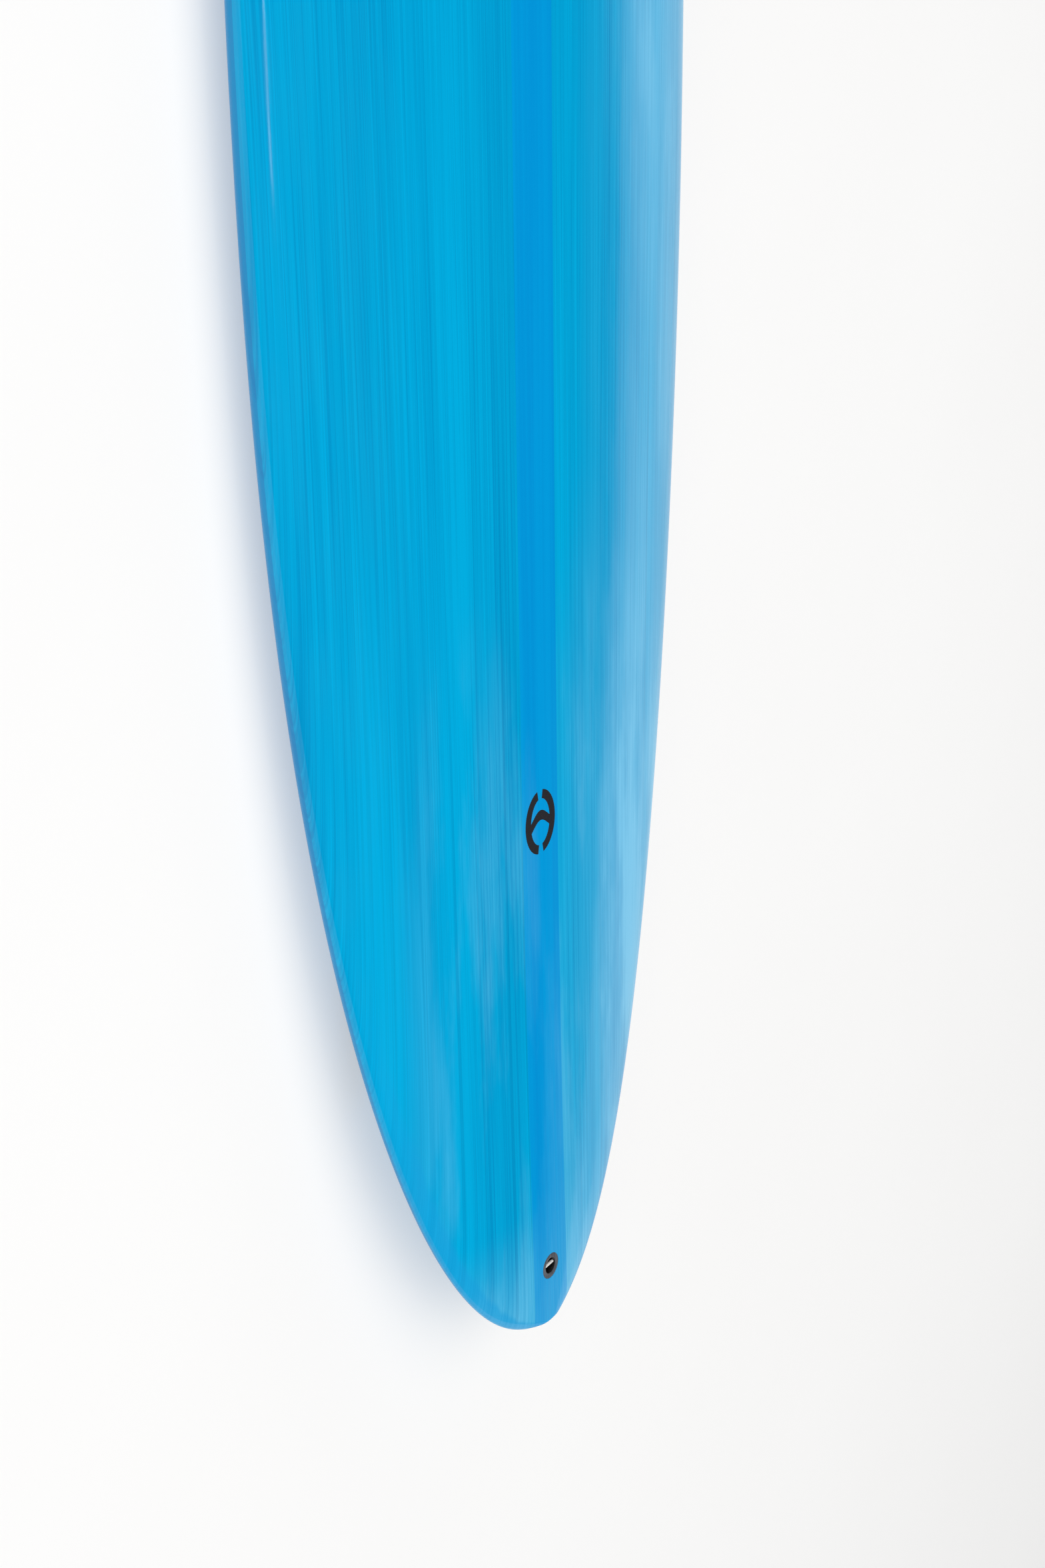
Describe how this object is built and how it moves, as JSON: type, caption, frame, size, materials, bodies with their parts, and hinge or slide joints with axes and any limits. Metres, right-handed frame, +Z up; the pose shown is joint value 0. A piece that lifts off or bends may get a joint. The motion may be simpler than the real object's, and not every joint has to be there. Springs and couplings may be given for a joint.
{
  "type": "surfboard",
  "caption": "Mid-length round-pin surfboard with deck and bottom skins over a foam core and stringer, a leash plug with a cross pin, and empty fin boxes under the tail",
  "frame": {"origin": "under the middle of the board's length and width, level with the lowest point of the bottom", "axes": "+X to the rider's right, +Y from tail to nose, +Z up out of the deck"},
  "size_m": [0.559, 2.134, 0.1346],
  "materials": {
    "deck": "blue brushed resin tint under a satin clear coat",
    "band": "darker blue resin tint under the same clear coat",
    "emblem": "black print sealed under the clear coat",
    "foam": "white blown foam",
    "dense_foam": "dense cream foam",
    "wood": "bare softwood",
    "black_plastic": "moulded dark grey plastic, sanded rim",
    "steel": "stainless steel"
  },
  "bodies": {
    "board": {"foam_core_left": "foam", "foam_core_right": "foam", "stringer": "wood", "deck_skin": "deck", "bottom_skin": "deck", "centre_band": "band", "deck_emblem": "emblem", "tail_block": "dense_foam", "leash_cup": "black_plastic", "leash_pin": "steel", "centre_fin_box": "black_plastic", "centre_box_block": "dense_foam", "left_fin_box": "black_plastic", "left_box_block": "dense_foam", "right_fin_box": "black_plastic", "right_box_block": "dense_foam"},
    "fin_fastener": {"fin_nut_plate": "steel", "fin_screw": "steel"},
    "left_grub": {"left_grub_screw": "steel"},
    "right_grub": {"right_grub_screw": "steel"}
  },
  "joints": [
    {"name": "fin_fastener_slide", "type": "slide", "parent": "board", "child": "fin_fastener", "axis": [0, 0.9947, -0.1024], "range_m": [-0.2205, 0]},
    {"name": "left_grub_turn", "type": "hinge", "parent": "board", "child": "left_grub", "pos_m": [-0.16295, -0.64728, 0.01837], "axis": [0.069, 0.0907, 0.9935], "continuous": true},
    {"name": "right_grub_turn", "type": "hinge", "parent": "board", "child": "right_grub", "pos_m": [0.16295, -0.64728, 0.01837], "axis": [-0.069, 0.0907, 0.9935], "continuous": true}
  ]
}
